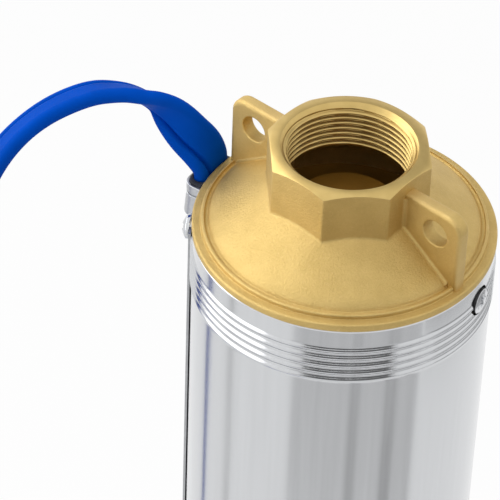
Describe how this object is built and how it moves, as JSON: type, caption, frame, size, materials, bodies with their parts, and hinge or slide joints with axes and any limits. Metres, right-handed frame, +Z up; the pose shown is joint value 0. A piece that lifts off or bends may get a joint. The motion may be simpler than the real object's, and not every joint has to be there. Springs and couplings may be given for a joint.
{
  "type": "borehole submersible pump",
  "caption": "Borehole submersible pump: brass delivery head with lifting lugs and check valve, stainless shell over a stage stack, strainer, filled motor, and flat cable under a guard.",
  "frame": {"origin": "centre of the motor's flat foot, on the pump's axis, at floor level", "axes": "+Z up the pump's axis to the outlet, -Y towards the camera, +X to the right in the picture"},
  "size_m": [0.3458, 0.1808, 0.7328],
  "materials": {
    "cast_brass": "satin cast with fine grain",
    "polished_stainless": "polished",
    "steel_fasteners": "polished",
    "steel_shafting": "ground",
    "spring_steel": "drawn wire",
    "black_rubber": "matte",
    "blue_cable": "satin",
    "black_plastic": "matte",
    "brown_plastic": "matte",
    "stage_plastic": "moulded",
    "cast_iron": "coated casting",
    "lamination_steel": "stacked sheet",
    "winding_copper": "varnished wire",
    "carbon": "dense carbon",
    "white_ceramic": "lapped"
  },
  "bodies": {
    "casing": {"delivery_head": "cast_brass", "suction_bracket": "cast_brass", "pump_shell": "polished_stainless", "motor_shell": "polished_stainless", "cable_guard": "polished_stainless", "cable_saddle": "polished_stainless", "suction_strainer": "polished_stainless", "head_lock_screw": "steel_fasteners", "strainer_screws": "steel_fasteners", "flange_studs": "steel_fasteners", "flange_nuts": "steel_fasteners", "end_cap_screws": "steel_fasteners", "guard_screws": "steel_fasteners", "thrust_cover": "steel_shafting", "head_o_ring": "black_rubber", "pressure_diaphragm": "black_rubber", "cable_grommet": "black_rubber", "motor_lead_plug": "black_rubber", "guarded_lead": "blue_cable", "free_cable": "blue_cable", "cable_coil": "blue_cable", "coil_tie": "black_plastic", "valve_seat": "brown_plastic", "top_bearing_spider": "stage_plastic", "stage_bowl_1": "stage_plastic", "stage_bowl_2": "stage_plastic", "stage_bowl_3": "stage_plastic", "stage_bowl_4": "stage_plastic", "stage_bowl_5": "stage_plastic", "stage_bowl_6": "stage_plastic", "stage_bowl_7": "stage_plastic", "motor_upper_bracket": "cast_iron", "motor_lower_bracket": "cast_iron", "motor_end_cap": "cast_iron", "stator_core": "lamination_steel", "stator_windings": "winding_copper", "top_bearing_bush": "carbon", "upper_bearing_bush": "carbon", "lower_bearing_bush": "carbon", "thrust_pads": "carbon", "seal_ring": "white_ceramic"},
    "rotor": {"pump_shaft": "steel_shafting", "impeller_lock_nut": "cast_brass", "shaft_coupling": "steel_shafting", "seal_face": "carbon", "sand_slinger": "black_rubber", "rotor_core": "lamination_steel", "motor_shaft": "steel_shafting", "thrust_runner": "steel_shafting", "impeller_1": "stage_plastic", "impeller_2": "stage_plastic", "impeller_3": "stage_plastic", "impeller_4": "stage_plastic", "impeller_5": "stage_plastic", "impeller_6": "stage_plastic", "impeller_7": "stage_plastic"},
    "valve": {"check_valve_poppet": "brown_plastic", "poppet_seal": "black_rubber", "poppet_spring": "spring_steel", "spring_retainer": "cast_brass"}
  },
  "joints": [
    {"name": "rotor_spin", "type": "hinge", "parent": "casing", "child": "rotor", "pos_m": [0, 0, 0], "axis": [0, 0, 1], "continuous": true},
    {"name": "valve_lift", "type": "slide", "parent": "casing", "child": "valve", "axis": [0, 0, 1], "range_m": [0, 0.006], "stiffness_N_per_m": 150, "springref_m": -0.01, "deforming": ["poppet_spring"]}
  ]
}
